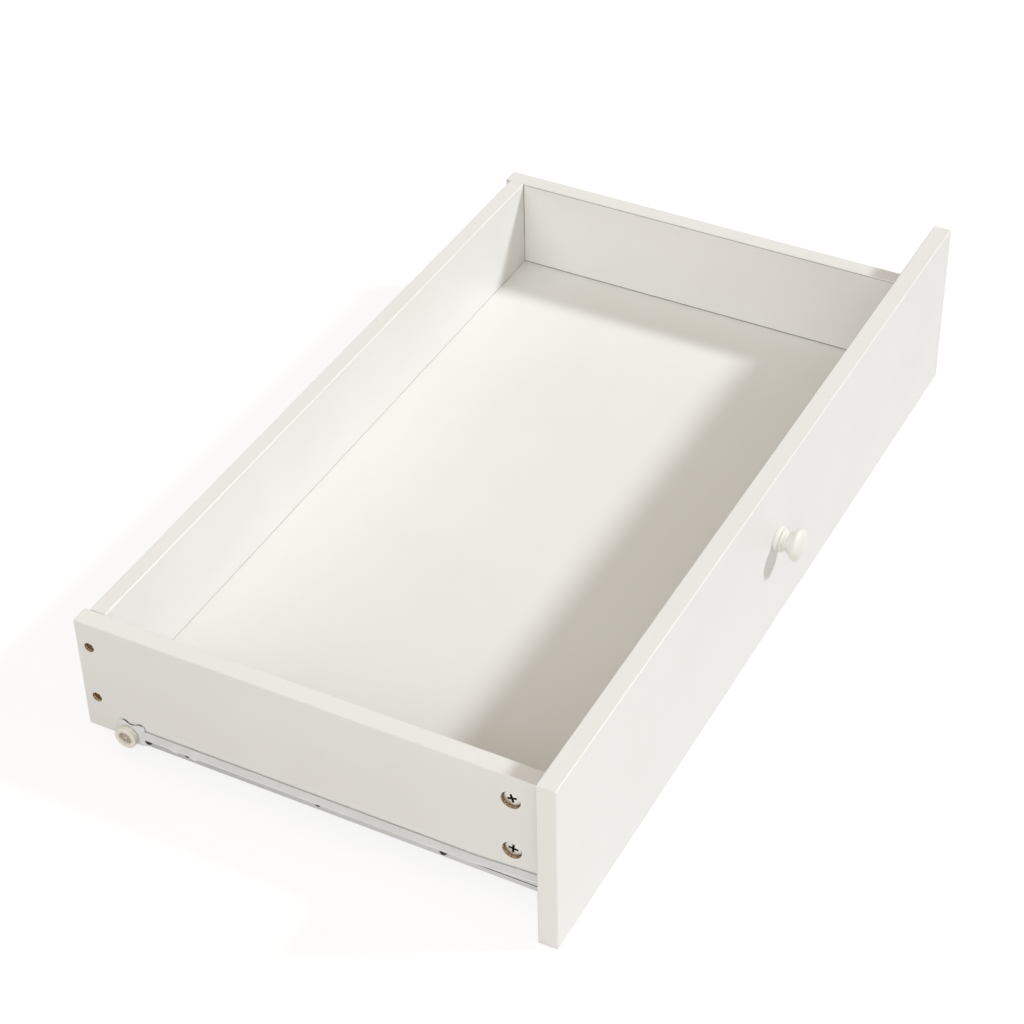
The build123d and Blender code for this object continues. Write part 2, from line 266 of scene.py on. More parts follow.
# Painted hairline shadows: over the bottom, before the back, under the top edge, and behind the lug and the
# slit.
painted_shade_lines = (
    {"X": inner_skin, "Z": (bottom_top - 0.0002, bottom_top + 0.0007)},
    {"X": inner_skin, "Y": (back_front - 0.00025, back_front + 0.0001)},
    {"X": inner_skin, "Z": (side_top - 0.00135, side_top - 0.00095)},
    {
        "X": outer_skin,
        "Y": (runner_start + 0.330, runner_start + 0.348),
        "Z": (side_foot, side_foot + 0.0148),
    },
    {
        "X": outer_skin,
        "Y": (runner_start, runner_start + 0.057),
        "Z": (side_foot + 0.0040, side_foot + 0.0052),
    },
)
white = (board_white, board_shade)
dress("drawer_front", coated_board("front_board", white, board_gloss, (), front_cuts))
dress("back_panel", coated_board("back_board", white, board_gloss, (), back_cuts))
side_board = coated_board("side_board", white, board_gloss, side_bores, side_cuts, painted_shade_spots, painted_shade_lines)
dress("side_left", side_board)
dress("side_right", side_board)


# The bottom is a 3 mm fibreboard sheet, white on its upper face, that slides into the grooves from
# behind before the back goes on. Its coating is thinner and duller than the boards'.
sheet_white = (0.802, 0.800, 0.772)
sheet_shade = (0.785, 0.780, 0.748)
sheet_gloss = 0.55
dress("bottom_panel", coated_board("coated_sheet", (sheet_white, sheet_shade), sheet_gloss))


# A cam bolt is a steel pin with a coarse wood thread at one end, a slim neck and a flat head at the
# other. It is screwed into the front, and its head stands in the side's cam bore.
zinc_light = (0.62, 0.61, 0.59)
zinc_dark = (0.47, 0.46, 0.44)
pin_segments = 40


def metal(name, light, dark, gloss, grain=0.0008, depth=0.00001):
    """Bare or plated metal with fine mottling."""
    material, tree, coat, place = shader(name, {"Metallic": 1.0, "Roughness": gloss})
    colour = blend_tones(tree, spread(tree, cloud(tree, place, 0.0022), 0.0, 1.0), dark, light)
    tree.links.new(colour, coat.inputs["Base Color"])
    relief(tree, coat, cloud(tree, place, grain, 4.0), depth)
    return material


def seat(origin, along, side):
    """Matrix that stands a piece at the origin, its Z along one direction and its X towards another."""
    z = Vector(along).normalized()
    x = (Vector(side) - Vector(side).dot(z) * z).normalized()
    turn = Matrix((x, z.cross(x), z)).transposed()
    return Matrix.Translation(origin) @ turn.to_4x4()


def turned_form(outline, segments):
    """Mesh of an outline of (radius, height) points turned about Z."""
    form = bmesh.new()
    rings = []
    for radius, height in outline:
        if radius < 1e-7:
            rings.append([form.verts.new((0, 0, height))])
            continue
        angles = [2 * math.pi * k / segments for k in range(segments)]
        rings.append([form.verts.new((radius * math.cos(a), radius * math.sin(a), height)) for a in angles])
    for low, high in zip(rings, rings[1:]):
        for k in range(segments):
            n = k + 1
            corners = [low[k % len(low)], low[n % len(low)], high[n % len(high)], high[k % len(high)]]
            corners = list(dict.fromkeys(corners))
            if len(corners) > 2:
                form.faces.new(corners)
    bmesh.ops.recalc_face_normals(form, faces=form.faces)
    return form


def thread(radius, depth, pitch, low, high, segments):
    """Turned form whose skin winds in a helical thread between two heights."""
    rows = max(2, math.ceil((high - low) / pitch * 6))
    form = bmesh.new()
    rings = []
    for row in range(rows + 1):
        height = low + (high - low) * row / rows
        fade = min(1.0, row / 6, (rows - row) / 6)
        ring = []
        for k in range(segments):
            phase = (height / pitch - k / segments) % 1.0
            crest = max(0.0, 1 - abs(2 * phase - 1) * 1.6)
            reach = radius - depth * (1 - crest * fade)
            angle = 2 * math.pi * k / segments
            ring.append(form.verts.new((reach * math.cos(angle), reach * math.sin(angle), height)))
        rings.append(ring)
    for first, second in zip(rings, rings[1:]):
        for k in range(segments):
            n = (k + 1) % segments
            form.faces.new((first[k], first[n], second[n], second[k]))
    form.faces.new(rings[0][::-1])
    form.faces.new(rings[-1])
    return form


def merged(*forms):
    """One mesh that holds several forms."""
    whole = bmesh.new()
    for form in forms:
        part = bpy.data.meshes.new("part")
        form.to_mesh(part)
        form.free()
        whole.from_mesh(part)
        bpy.data.meshes.remove(part)
    return whole


def place_piece(name, form, matrix, material, body, stands_for, sharp=35, recess=None):
    """Put a form in the frame as one piece that stands for a CAD node and rides on its body.

    A recess is given as its reach from the axis and its lowest and highest level; shade is painted inside
    it.
    """
    if recess:
        reach, floor_level, mouth_level = recess
        for face in form.faces:
            centre = face.calc_center_median()
            if centre.xy.length < reach and floor_level < centre.z < mouth_level:
                face.material_index = 1
    form.transform(matrix)
    mesh = bpy.data.meshes.new(name)
    form.to_mesh(mesh)
    form.free()
    mesh.shade_smooth()
    mesh.set_sharp_from_angle(angle=math.radians(sharp))
    mesh.materials.append(material)
    if recess:
        mesh.materials.append(recess_shade)
    piece = bpy.data.objects.new(name, mesh)
    bpy.context.scene.collection.objects.link(piece)
    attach(piece, body)
    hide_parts(stands_for)
    return piece


plated_steel = metal("plated_steel", zinc_light, zinc_dark, 0.32)
# Near black metal, painted into the recesses of screws and cams as shade.
recess_shade = metal("recess_shade", (0.05, 0.045, 0.04), (0.02, 0.018, 0.016), 0.6)
hands = {"left": -1, "right": 1}
bolt_head = 0.0022
bolt_neck = 0.0018
bolt_pitch = 0.0024
bolt_thread_depth = 0.0009
for hand in hands:
    for level in levels:
        node = f"cam_bolt_{hand}_{level}"
        low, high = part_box(node)
        centre = (low + high) / 2
        radius = (high.x - low.x) / 2
        bite = front_back - low.y
        length = high.y - front_back
        neck_start = length - bolt_head - 0.0050
        pin = turned_form(
            (
                (0, 0.0002),
                (radius - 0.0002, 0.0002),
                (radius, 0.0004),
                (radius, neck_start - 0.0006),
                (bolt_neck, neck_start),
                (bolt_neck, length - bolt_head),
                (radius - 0.0003, length - bolt_head),
                (radius - 0.0001, length - bolt_head + 0.0003),
                (radius - 0.0001, length - 0.0004),
                (radius - 0.0005, length),
                (0, length),
            ),
            pin_segments,
        )
        screw_end = thread(radius, bolt_thread_depth, bolt_pitch, -bite, 0.0001, pin_segments)
        where = seat((centre.x, front_back, centre.z), (0, 1, 0), (1, 0, 0))
        place_piece(f"{node}_pin", merged(screw_end, pin), where, plated_steel, "box", node)


# A cam lock is a die cast zinc drum that sits in a 15 mm bore from outside. A cross in its face takes
# the screwdriver. Its turn hooks the bolt's head and draws the front on. The cast surface is dull.
cam_zinc_light = (0.80, 0.785, 0.75)
cam_zinc_dark = (0.62, 0.60, 0.565)
cast_zinc = metal("cast_zinc", cam_zinc_light, cam_zinc_dark, 0.42, 0.0006, 0.00004)
cam_turns = {"left_lower": -5, "left_upper": 16, "right_lower": 8, "right_upper": -9}
cam_rim = 0.0010
cam_rim_drop = 0.0013
cam_throat = 0.0075
cam_room = 0.00315
cam_slot = 0.00205
cam_hollow = 0.00495
cam_hollow_offset = 0.0008
cam_sweep = (-222, 42)
cam_cross = (0.0086, 0.0020, 0.0030)
cam_cross_foot = 0.62
cam_cross_shade = (0.0047, -0.0035, -0.0002)
cam_notch_run = 0.0016
cam_notch_half = 0.0005
cam_notch_depth = 0.0009
past_cam = 0.009


def prism(outline, low, high):
    """Closed prism over an outline of (x, y) points between two heights."""
    form = bmesh.new()
    foot = [form.verts.new((x, y, low)) for x, y in outline]
    top = [form.verts.new((x, y, high)) for x, y in outline]
    form.faces.new(foot[::-1])
    form.faces.new(top)
    for k in range(len(outline)):
        n = (k + 1) % len(outline)
        form.faces.new((foot[k], foot[n], top[n], top[k]))
    bmesh.ops.recalc_face_normals(form, faces=form.faces)
    return form


def ring_points(centre, radius, start, end, count):
    """Points along an arc in degrees, both ends included."""
    angles = [math.radians(start + (end - start) * k / count) for k in range(count + 1)]
    return [(centre[0] + radius * math.cos(a), centre[1] + radius * math.sin(a)) for a in angles]


def cross_cutter(span, width, depth, taper):
    """Cross-shaped plug, narrower at its foot, that cuts a driver's recess into a face at height 0."""
    half = width / 2
    arm = span / 2
    corner = [(half, half), (half, arm), (-half, arm)]
    outline = list(corner)
    for _ in range(3):
        corner = [(-y, x) for x, y in corner]
        outline += corner
    form = bmesh.new()
    top = [form.verts.new((x, y, depth * 0.5)) for x, y in outline]
    foot = []
    for x, y in outline:
        foot_x = x * taper if abs(x) > half * 1.01 else x * 0.8
        foot_y = y * taper if abs(y) > half * 1.01 else y * 0.8
        foot.append(form.verts.new((foot_x, foot_y, -depth)))
    form.faces.new(top)
    form.faces.new(foot[::-1])
    for k in range(12):
        n = (k + 1) % 12
        form.faces.new((top[n], top[k], foot[k], foot[n]))
    bmesh.ops.recalc_face_normals(form, faces=form.faces)
    return form


def carved(form, cutter, operation="DIFFERENCE"):
    """The form less the cutter, or joined with it."""
    solids = []
    for name, shape in (("stock", form), ("tool", cutter)):
        mesh = bpy.data.meshes.new(name)
        shape.to_mesh(mesh)
        shape.free()
        solid = bpy.data.objects.new(name, mesh)
        bpy.context.scene.collection.objects.link(solid)
        solids.append(solid)
    stock, tool = solids
    cut = stock.modifiers.new("cut", "BOOLEAN")
    cut.operation = operation
    cut.solver = "EXACT"
    cut.object = tool
    whole = stock.evaluated_get(bpy.context.evaluated_depsgraph_get()).to_mesh()
    result = bmesh.new()
    result.from_mesh(whole)
    for solid in solids:
        mesh = solid.data
        bpy.data.objects.remove(solid)
        bpy.data.meshes.remove(mesh)
    return result


for hand, way in hands.items():
    for level in levels:
        node = f"cam_lock_{hand}_{level}"
        low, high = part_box(node)
        centre = (low + high) / 2
        radius = (high.z - low.z) / 2
        outer = high.x if way > 0 else -low.x
        depth = high.x - low.x
        drum = [(0, -depth), (radius - 0.0004, -depth), (radius, 0.0004 - depth), (radius, -cam_rim_drop)]
        drum += [(radius - cam_rim, -0.0001), (radius - cam_rim - 0.0002, 0), (0, 0)]
        form = turned_form(drum, 72)
        throat = side_outer - outer - cam_throat
        side = cam_hollow / math.cos(math.pi / 8)
        hollow = [(x - cam_hollow_offset, y) for x, y in ring_points((0, 0), side, 22.5, 337.5, 7)]
        form = carved(form, prism(hollow, throat - cam_room, throat + cam_room))
        mouth = [(-past_cam, -cam_room), (0, -cam_room), (0, cam_room), (-past_cam, cam_room)]
        form = carved(form, prism(mouth, throat - cam_room, throat + cam_room))
        sweep = [(0, 0)] + ring_points((0, 0), past_cam, *cam_sweep, 40)
        form = carved(form, prism(sweep, throat - cam_slot, throat + cam_slot))
        form = carved(form, cross_cutter(*cam_cross, cam_cross_foot))
        notch_end = radius - cam_notch_run
        notch = [(notch_end, -cam_notch_half), (past_cam, -cam_notch_half)]
        notch += [(past_cam, cam_notch_half), (notch_end, cam_notch_half)]
        form = carved(form, prism(notch, -cam_notch_depth, 0.001))
        angle = math.radians(way * cam_turns[f"{hand}_{level}"])
        towards = (0, -math.cos(angle), -math.sin(angle))
        where = seat((way * outer, centre.y, centre.z), (way, 0, 0), towards)
        place_piece(f"{node}_drum", form, where, cast_zinc, node, node, 30, cam_cross_shade)


# The back is held by two yellow plated screws through each side. Their round heads lie in a
# counterbore a little below the side's face.
brass_light = (0.82, 0.63, 0.41)
brass_dark = (0.52, 0.36, 0.20)
yellow_plate = metal("yellow_plate", brass_light, brass_dark, 0.26)


def screw_form(head_radius, head_height, shank_radius, shank_length, pitch):
    """Pan head with a cross recess, standing on height 0, and a threaded shank below it."""
    dome = [(0, 0), (head_radius, 0), (head_radius, head_height * 0.45)]
    for step in range(1, 6):
        angle = math.pi / 2 * step / 6
        dome.append(
            (
                head_radius * (0.62 + 0.38 * math.cos(angle)),
                head_height * (0.45 + 0.55 * math.sin(angle)),
            )
        )
    dome += [(head_radius * 0.5, head_height), (0, head_height)]
    head = turned_form(dome, pin_segments)
    cutter = cross_cutter(head_radius * 1.15, head_radius * 0.26, head_height * 0.75, 0.45)
    cutter.transform(Matrix.Translation((0, 0, head_height)))
    head = carved(head, cutter)
    tip = shank_radius * 1.6
    shank = thread(shank_radius, shank_radius * 0.3, pitch, tip - shank_length, 0.0001, 24)
    point = turned_form(((0, -shank_length), (shank_radius * 0.7, tip - shank_length + 0.00005)), 24)
    return merged(head, shank, point)


def screw_recess(head_radius, head_height):
    """Reach and levels of the recess in a screw's head."""
    return head_radius * 0.62, head_height * 0.1, head_height * 0.97


screw_turns = {"left_lower": 20, "left_upper": 65, "right_lower": 40, "right_upper": 10}
back_head = 0.0024
back_pitch = 0.0018
back_shank = 0.0020
for hand, way in hands.items():
    for level in levels:
        node = f"back_screw_{hand}_{level}"
        low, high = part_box(node)
        length = high.x - low.x - back_head
        face = (low.x if way < 0 else high.x) - way * back_head
        radius = (high.z - low.z) / 2
        where = seat((face, (low.y + high.y) / 2, (low.z + high.z) / 2), (way, 0, 0), (0, -1, 0))
        where = where @ Matrix.Rotation(math.radians(screw_turns[f"{hand}_{level}"]), 4, "Z")
        form = screw_form(radius, back_head, back_shank, length, back_pitch)
        hole = screw_recess(radius, back_head)
        place_piece(f"{node}_body", form, where, yellow_plate, "box", node, 35, hole)


# The knob is turned from beech and painted white. It has a beaded foot, a ring, a hollow neck and a
# domed head, and a machine screw through the front holds it.
paint_white = (0.81, 0.80, 0.765)
paint_shade = (0.775, 0.76, 0.72)
# The knob's outline in millimetres, as radius and height over the front.
knob_curve = (
    (0.0, 0.0), (9.9, 0.0), (10.15, 0.3), (10.3, 1.2), (10.25, 2.2), (10.0, 3.1), (9.6, 3.7), (8.9, 3.95),
    (8.35, 4.05), (8.3, 4.2), (8.75, 4.45), (9.1, 5.0), (9.15, 5.7), (8.95, 6.2), (8.4, 6.6), (7.7, 6.75),
    (7.3, 6.95), (7.45, 7.2), (7.7, 7.5), (7.6, 7.8), (7.35, 8.2), (7.35, 8.8), (7.6, 9.6), (8.1, 10.5),
    (8.9, 11.6), (9.8, 12.6), (10.8, 13.6), (11.7, 14.6), (12.4, 15.6), (12.8, 16.5), (12.9, 17.3),
    (12.75, 18.1), (12.3, 18.8), (11.5, 19.5), (10.3, 20.15), (8.7, 20.7), (6.9, 21.15), (5.0, 21.45),
    (3.0, 21.7), (1.2, 21.79), (0.0, 21.8),
)
knob_screw_head = 0.0024
knob_screw_shank = 0.0020
knob_screw_pitch = 0.0007
knob_low, knob_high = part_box("knob")
knob_centre = (knob_low + knob_high) / 2
knob_length = knob_high.y - knob_low.y
material, tree, coat, place = shader("painted_wood", {"Roughness": 0.36, "IOR": 1.5})
tone = blend_tones(tree, spread(tree, cloud(tree, place, 0.006), 0.0, 1.0), paint_white, paint_shade)
tree.links.new(tone, coat.inputs["Base Color"])
relief(tree, coat, cloud(tree, place, 0.0011, 3.0), 0.00005)
painted_wood = material
scale = knob_length / knob_curve[-1][1]
form = turned_form([(reach * scale, height * scale) for reach, height in knob_curve], 96)
where = seat((knob_centre.x, knob_high.y, knob_centre.z), (0, -1, 0), (1, 0, 0))
place_piece("knob_body", form, where, painted_wood, "box", "knob", 60)

low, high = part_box("knob_screw")
face = high.y - knob_screw_head
radius = (high.x - low.x) / 2
form = screw_form(radius, knob_screw_head, knob_screw_shank, face - low.y, knob_screw_pitch)
where = seat(((low.x + high.x) / 2, face, (low.z + high.z) / 2), (0, 1, 0), (1, 0, 0))
hole = screw_recess(radius, knob_screw_head)
place_piece("knob_screw_body", form, where, plated_steel, "box", "knob_screw", 35, hole)


# Each runner is one strip of 1.2 mm steel, pressed to a lip, a web and a flange, with a ramp at the
# front, two stop dips and a joggled lug for the roller. It has a light grey stoved coating.
coat_light = (0.80, 0.81, 0.835)
coat_dark = (0.75, 0.76, 0.785)
web_shade_front = (0.66, 0.665, 0.68)
web_shade_rear = (0.50, 0.505, 0.52)
steel = 0.0012
lip = 0.0110
flange_top = 0.0129
flange_reach = 0.0074
bend_inside = 0.0006
bend_outside = 0.0018
burr = 0.00018
ramp_run = 0.057
ramp_rise = 0.0038
flange_run = 0.328
tip_round = 0.0025
dips = ((0.282, 0.0019), (0.298, 0.0014))
dip_half = 0.0055
hole_stations = (0.0825, 0.1835, 0.2925, 0.325)
hole_height = 0.005
hole_radius = 0.0024
slit = (0.0042, 0.0050)
lug_joggle = 0.0010
lug_run = 0.003
roller_station = 0.3416
roller_height = 0.0056
rivet_bore = 0.0025
lug_round = 0.0068
# The lug's upper edge in millimetres, as its place along the runner and its height.
lug_crest = (
    (348.4, 14.0), (348.4, 15.8), (348.0, 16.8), (347.2, 17.45), (346.2, 17.68), (345.2, 17.5),
    (344.0, 16.9), (342.6, 15.95), (341.2, 15.3), (339.6, 15.02), (338.0, 15.1), (336.4, 15.6),
    (335.0, 16.3), (333.6, 17.0), (332.2, 17.3), (330.6, 17.2), (329.2, 16.75), (328.2, 15.9), (327.8, 14.8),
)
material, tree, coat, place = shader("coated_steel", {"Roughness": 0.36, "Specular IOR Level": 0.6})
tone = blend_tones(tree, spread(tree, cloud(tree, place, 0.03), 0.0, 1.0), coat_light, coat_dark)
# The web under the flange gets a darker colour as painted shade, darker still towards the rear.
parts = tree.nodes.new("ShaderNodeSeparateXYZ")
tree.links.new(place, parts.inputs["Vector"])
along = tree.nodes.new("ShaderNodeMapRange")
along.inputs["From Min"].default_value = 0.08
along.inputs["From Max"].default_value = 0.33
tree.links.new(parts.outputs["Y"], along.inputs["Value"])
web_painted_shade = blend_tones(tree, along.outputs["Result"], web_shade_front, web_shade_rear)
web = {
    "X": (side_outer - 0.001, side_outer + 0.0014),
    "Y": (0, 0.339),
    "Z": (side_foot - 0.001, side_foot + 0.0112),
}
tone = blend_tones(tree, within(tree, parts, web), tone, web_painted_shade)
# Painted shade darkens the bend's root by the side, the slit's edges and the walls of the holes.
bend_root = {"X": (side_outer - 0.0001, side_outer + 0.0005), "Z": (side_foot + 0.0105, side_foot + 0.02)}
cut_wall = (side_outer - 0.0005, side_outer + 0.00115)
slit_wall = {
    "X": cut_wall,
    "Y": (runner_start - 0.001, runner_start + ramp_run + 0.0001),
    "Z": (side_foot + slit[0] - 0.0001, side_foot + slit[1] + 0.0001),
}
hole_walls = [
    ((0, runner_start + station, side_foot + hole_height), hole_radius + 0.0002, {"X": cut_wall})
    for station in hole_stations
]
tone = blend_tones(tree, bare_share(tree, place, hole_walls, [bend_root, slit_wall]), tone, painted_shade_tone)
tree.links.new(tone, coat.inputs["Base Color"])
relief(tree, coat, cloud(tree, place, 0.0009, 3.0), 0.00003)
coated_steel = material


def ramp_top(station):
    """Height of the flange's upper face at a station; it settles smoothly at the ramp's end."""
    settle = 0.006
    if station < ramp_run - settle:
        rise = ramp_run - station
    elif station < ramp_run + settle:
        rise = (ramp_run + settle - station) ** 2 / (4 * settle)
    else:
        rise = 0.0
    return flange_top + rise * ramp_rise / ramp_run


def flange_edge(station):
    """How far the flange reaches out at a station; its rear corner is rounded."""
    past = station - flange_run + tip_round
    if past <= 0:
        return flange_reach
    return flange_reach - tip_round + math.sqrt(max(0.0, tip_round**2 - past**2))


def strip_section(station):
    """Closed outline (outward, height) of the bent strip at a station."""
    top = ramp_top(station)
    reach = flange_edge(station)
    outline = [(-lip, burr - steel), (burr - lip, -steel)]
    outline += ring_points((steel - bend_outside, bend_outside - steel), bend_outside, -90, 0, 6)
    outline += ring_points((steel + bend_inside, top - steel - bend_inside), bend_inside, 180, 90, 5)
    outline += [(reach - burr, top - steel), (reach, top - steel + burr)]
    outline += [(reach, top - burr), (reach - burr, top)]
    outline += [((reach + bend_outside) / 2, top)]
    outline += ring_points((bend_outside, top - bend_outside), bend_outside, 90, 180, 6)
    outline += ring_points((-bend_inside, bend_inside), bend_inside, 0, -90, 5)
    outline += [(burr - lip, 0), (-lip, -burr)]
    bent = []
    for out, height in outline:
        sink = 0.0
        for middle_station, depth in dips:
            away = abs(station - middle_station) / dip_half
            if away < 1 and out > bend_outside and height > top - steel - burr:
                share = (out - bend_outside) / (flange_reach - bend_outside)
                sink += depth * share**1.1 * math.cos(math.pi / 2 * away) ** 2
        bent.append((out, height - sink))
    return bent


def runner_form():
    """Strip and lug of the right runner as (outward, along, up) points, with its slit and holes cut."""
    stations = [0.0] + [0.003 * k for k in range(1, 17)] + [ramp_run + 0.001 * k for k in range(-6, 8, 2)]
    stations += [0.09, 0.13, 0.17, 0.20, 0.24, 0.27]
    for centre, _ in dips:
        stations += [centre + dip_half * k / 8 for k in range(-8, 9)]
    stations += [0.31, 0.32] + [flange_run - tip_round * math.cos(math.pi / 2 * k / 8) for k in range(9)]
    form = bmesh.new()
    rings = []
    for station in sorted(set(round(s, 6) for s in stations)):
        rings.append([form.verts.new((out, station, up)) for out, up in strip_section(station)])
    count = len(rings[0])
    for first, second in zip(rings, rings[1:]):
        for k in range(count):
            n = (k + 1) % count
            form.faces.new((first[k], first[n], second[n], second[k]))
    form.faces.new(rings[0][::-1])
    form.faces.new(rings[-1])
    bmesh.ops.recalc_face_normals(form, faces=form.faces)
    to_side = Matrix(((0, 0, 1, 0), (1, 0, 0, 0), (0, 1, 0, 0), (0, 0, 0, 1)))
    outline = [(0.3276, -steel)]
    outline += ring_points((roller_station, roller_height), lug_round, -90, 0, 12)
    outline += [(along / 1000, up / 1000) for along, up in lug_crest]
    lug = prism(outline, 0, steel)
    for k in range(1, 8):
        cut = (flange_run + lug_run * k / 8, 0, 0)
        everything = lug.verts[:] + lug.edges[:] + lug.faces[:]
        bmesh.ops.bisect_plane(lug, geom=everything, plane_co=cut, plane_no=(1, 0, 0))
    for vert in lug.verts:
        share = min(1.0, max(0.0, (vert.co.x - flange_run) / lug_run))
        vert.co.z += lug_joggle * share * share * (3 - 2 * share)
    lug.transform(to_side)
    form = carved(form, lug, "UNION")
    cutters = []
    for station in hole_stations:
        drill = ring_points((station, hole_height), hole_radius, 0, 350, 35)
        cutters.append(prism(drill, -0.001, 0.0016))
    drill = ring_points((roller_station, roller_height), rivet_bore, 0, 350, 35)
    cutters.append(prism(drill, 0, 0.003))
    middle_height = (slit[0] + slit[1]) / 2
    half = (slit[1] - slit[0]) / 2
    end = ring_points((ramp_run - half, middle_height), half, -90, 90, 8)
    cutters.append(prism([(-0.001, slit[0])] + end + [(-0.001, slit[1])], -0.001, 0.0018))
    for cutter in cutters:
        cutter.transform(to_side)
        form = carved(form, cutter)
    return form


for hand, way in hands.items():
    form = runner_form()
    where = Matrix(
        (
            (way, 0, 0, way * side_outer),
            (0, 1, 0, runner_start),
            (0, 0, 1, side_foot),
            (0, 0, 0, 1),
        )
    )
    if way < 0:
        bmesh.ops.reverse_faces(form, faces=form.faces)
    node = f"runner_{hand}"
    place_piece(f"{node}_strip", form, where, coated_steel, "box", node, 32)


# Two pan head screws hold each runner, one behind the ramp and one before the lug. They are steel, coloured
# near black as painted shade under the flange, and driven through the web into the side.
black_light = (0.07, 0.068, 0.066)
black_dark = (0.03, 0.029, 0.028)
black_steel = metal("black_steel", black_light, black_dark, 0.38)
runner_head = 0.0015
runner_pitch = 0.0013
runner_shank = 0.0016
for hand, way in hands.items():
    for turn, end in ((25, "front"), (50, "rear")):
        node = f"runner_screw_{hand}_{end}"
        low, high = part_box(node)
        face = (low.x if way < 0 else high.x) - way * runner_head
        length = high.x - low.x - runner_head
        where = seat((face, (low.y + high.y) / 2, (low.z + high.z) / 2), (way, 0, 0), (0, -1, 0))
        where = where @ Matrix.Rotation(math.radians(turn), 4, "Z")
        form = screw_form((high.z - low.z) / 2, runner_head, runner_shank, length, runner_pitch)
        place_piece(f"{node}_body", form, where, black_steel, "box", node)


# A roller is moulded in ivory nylon, with rounded tread corners and a recess for the rivet's head. It
# turns on a steel rivet closed behind the lug, which grease and dust have darkened.
nylon_light = (0.84, 0.82, 0.75)
nylon_dark = (0.80, 0.775, 0.70)
rivet_light = (0.50, 0.44, 0.36)
rivet_dark = (0.33, 0.28, 0.22)
roller_round = 0.0007
hub_radius = 0.0054
hub_depth = 0.0025
bore_radius = 0.00255
rivet_shank = 0.0025
rivet_head = 0.0008
rivet_round = 0.00035
rivet_dimple = ((0.0026, 0.00002), (0.0019, 0.0001), (0.0014, 0.0006), (0, 0.0008))
nylon_finish = {"Roughness": 0.5, "Subsurface Weight": 0.12, "Subsurface Scale": 0.002}
material, tree, coat, place = shader("ivory_nylon", nylon_finish)
tone = blend_tones(tree, spread(tree, cloud(tree, place, 0.004), 0.0, 1.0), nylon_light, nylon_dark)
tree.links.new(tone, coat.inputs["Base Color"])
relief(tree, coat, cloud(tree, place, 0.0012, 2.0), 0.00004)
ivory_nylon = material
rivet_steel = metal("rivet_steel", rivet_light, rivet_dark, 0.45)
for hand, way in hands.items():
    node = f"roller_{hand}"
    low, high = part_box(node)
    centre = (low + high) / 2
    radius = (high.z - low.z) / 2
    width = high.x - low.x
    inner = high.x if way < 0 else low.x
    where = seat((inner, centre.y, centre.z), (way, 0, 0), (0, -1, 0))
    outline = [(bore_radius, 0)]
    outline += ring_points((radius - roller_round, roller_round), roller_round, -90, 0, 6)
    outline += [(radius + 0.00002, width / 2)]
    outline += ring_points((radius - roller_round, width - roller_round), roller_round, 0, 90, 6)
    outline += ring_points((hub_radius + 0.0004, width - 0.0004), 0.0004, 90, 180, 4)
    outline += ring_points((hub_radius - 0.0003, width - hub_depth + 0.0003), 0.0003, 0, -90, 3)
    outline += [(bore_radius, width - hub_depth), (bore_radius, 0)]
    form = turned_form(outline, 72)
    bmesh.ops.remove_doubles(form, verts=form.verts, dist=1e-7)
    place_piece(f"{node}_wheel", form, where, ivory_nylon, node, node, 40)
    node = f"roller_rivet_{hand}"
    low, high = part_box(node)
    length = high.x - low.x
    radius = (high.z - low.z) / 2
    start = high.x if way < 0 else low.x
    outline = [(0, 0), (rivet_shank, 0), (rivet_shank, length - rivet_head)]
    outline += [(radius - 0.0001, length - rivet_head)]
    outline += ring_points((radius - rivet_round, length - rivet_round), rivet_round, -20, 90, 4)
    outline += [(reach, length - drop) for reach, drop in rivet_dimple]
    form = turned_form(outline, 48)
    where = seat((start, centre.y, centre.z), (way, 0, 0), (0, -1, 0))
    place_piece(f"{node}_body", form, where, rivet_steel, "box", node)


# The drawer stands on a plain white floor in a plain white room. A large soft lamp lights it from the
# front right, and weaker ones from the left, from above and from close by its front left corner.
floor_size = 12.0
key_way = (0.64, -1.09, 1.0)
key_strength = 2.049
key_tone = (0.910, 0.955, 1.000)
key_softness = 7.5
fill_way = (-1.0, -0.1, 0.75)
fill_strength = 1.191
fill_tone = (0.949, 0.980, 1.000)
fill_softness = 50
top_way = (0.0, 0.1, 1.0)
top_strength = 0.068
top_tone = (0.992, 0.959, 1.000)
top_softness = 90
near_place = (-0.95, -0.30, 0.18)
near_target = (-0.335, 0.03, 0.06)
near_size = 0.4
near_power = 0.642
near_tone = (0.998, 1.000, 0.868)
room_tone = (1.000, 0.875, 0.726)
room_strength = 0.425
floor_bounce = 0.60
floor_shadow = 0.25
floor_lift = 0.80


def seen_share(tree):
    """1 where a surface is seen straight, mirrored or through glass, and 0 where it only gives light."""
    seen = tree.nodes.new("ShaderNodeLightPath")
    rays = join(tree, "MAXIMUM", seen.outputs["Is Camera Ray"], seen.outputs["Is Glossy Ray"])
    return join(tree, "MAXIMUM", rays, seen.outputs["Is Transmission Ray"])


form = bmesh.new()
half = floor_size / 2
corners = ((-half, -half, 0), (half, -half, 0), (half, half, 0), (-half, half, 0))
form.faces.new([form.verts.new(corner) for corner in corners])
mesh = bpy.data.meshes.new("floor")
form.to_mesh(mesh)
form.free()
floor = bpy.data.objects.new("floor", mesh)
bpy.context.scene.collection.objects.link(floor)

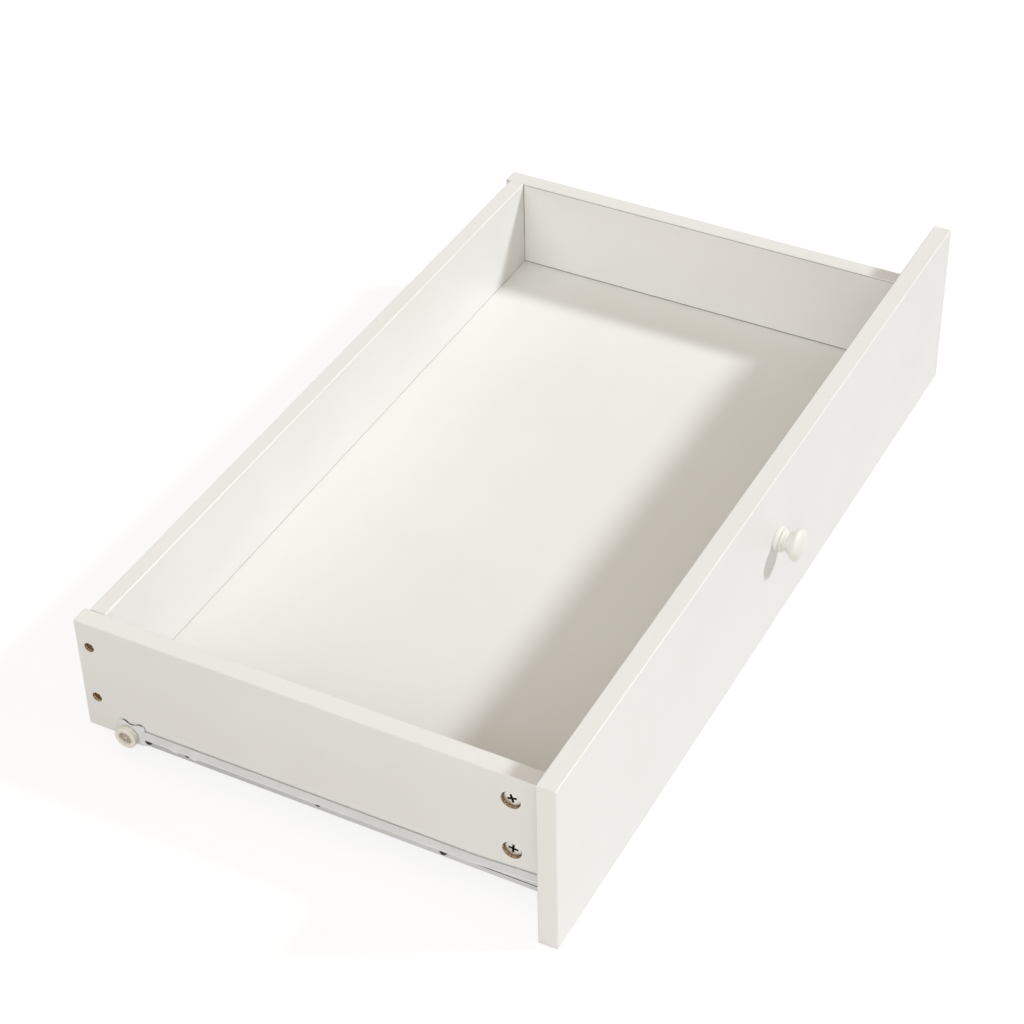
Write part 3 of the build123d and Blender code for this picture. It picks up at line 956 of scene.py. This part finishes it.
paper = bpy.data.materials.new("floor_paper")
paper.use_nodes = True
tree = paper.node_tree
tree.nodes.clear()
matte = tree.nodes.new("ShaderNodeBsdfDiffuse")
matte.inputs["Color"].default_value = (floor_bounce, floor_bounce, floor_bounce, 1)
shadowed = tree.nodes.new("ShaderNodeBsdfDiffuse")
shadowed.inputs["Color"].default_value = (floor_shadow, floor_shadow, floor_shadow, 1)
glow = tree.nodes.new("ShaderNodeEmission")
glow.inputs["Strength"].default_value = floor_lift
shown = tree.nodes.new("ShaderNodeAddShader")
tree.links.new(shadowed.outputs[0], shown.inputs[0])
tree.links.new(glow.outputs[0], shown.inputs[1])
choice = tree.nodes.new("ShaderNodeMixShader")
tree.links.new(seen_share(tree), choice.inputs[0])
tree.links.new(matte.outputs[0], choice.inputs[1])
tree.links.new(shown.outputs[0], choice.inputs[2])
output = tree.nodes.new("ShaderNodeOutputMaterial")
tree.links.new(choice.outputs[0], output.inputs["Surface"])
mesh.materials.append(paper)

room = bpy.data.worlds.new("room")
bpy.context.scene.world = room
room.use_nodes = True
tree = room.node_tree
tree.nodes.clear()
walls = tree.nodes.new("ShaderNodeBackground")
walls.inputs["Color"].default_value = (*room_tone, 1)
walls.inputs["Strength"].default_value = room_strength
white = tree.nodes.new("ShaderNodeBackground")
white.inputs["Color"].default_value = (1, 1, 1, 1)
white.inputs["Strength"].default_value = 1.0
choice = tree.nodes.new("ShaderNodeMixShader")
tree.links.new(seen_share(tree), choice.inputs[0])
tree.links.new(walls.outputs[0], choice.inputs[1])
tree.links.new(white.outputs[0], choice.inputs[2])
output = tree.nodes.new("ShaderNodeOutputWorld")
tree.links.new(choice.outputs[0], output.inputs["Surface"])

for name, way, strength, tone, softness in (
    ("key_lamp", key_way, key_strength, key_tone, key_softness),
    ("fill_lamp", fill_way, fill_strength, fill_tone, fill_softness),
    ("top_lamp", top_way, top_strength, top_tone, top_softness),
):
    lamp = bpy.data.lights.new(name, "SUN")
    lamp.energy = strength
    lamp.color = tone
    lamp.angle = math.radians(softness)
    holder = bpy.data.objects.new(name, lamp)
    bpy.context.scene.collection.objects.link(holder)
    holder.rotation_euler = Vector(way).to_track_quat("Z", "Y").to_euler()
near_lamp = bpy.data.lights.new("near_lamp", "AREA")
near_lamp.size = near_size
near_lamp.energy = near_power
near_lamp.color = near_tone
holder = bpy.data.objects.new("near_lamp", near_lamp)
bpy.context.scene.collection.objects.link(holder)
holder.location = near_place
holder.rotation_euler = (Vector(near_place) - Vector(near_target)).to_track_quat("Z", "Y").to_euler()
holder.visible_camera = False


# The camera looks down on the drawer from its front left. It stands well back with a long lens, so that
# the boards' edges run nearly parallel.
camera_place = Vector((-1.366403, -0.526132, 1.301169))
camera_azimuth = math.radians(-63.6248)
camera_elevation = math.radians(38.6059)
sight = Vector(
    (
        -math.sin(camera_azimuth) * math.cos(camera_elevation),
        math.cos(camera_azimuth) * math.cos(camera_elevation),
        -math.sin(camera_elevation),
    )
)
lens = bpy.data.cameras.new("camera")
lens.sensor_width = 36
lens.lens = 88.7367
lens.shift_x = -0.07349
lens.shift_y = -0.027874
lens.clip_start = 0.05
lens.clip_end = 60
eye = bpy.data.objects.new("camera", lens)
bpy.context.scene.collection.objects.link(eye)
eye.location = camera_place
eye.rotation_euler = sight.to_track_quat("-Z", "Y").to_euler()
bpy.context.scene.camera = eye
bpy.context.scene.view_settings.view_transform = "Standard"
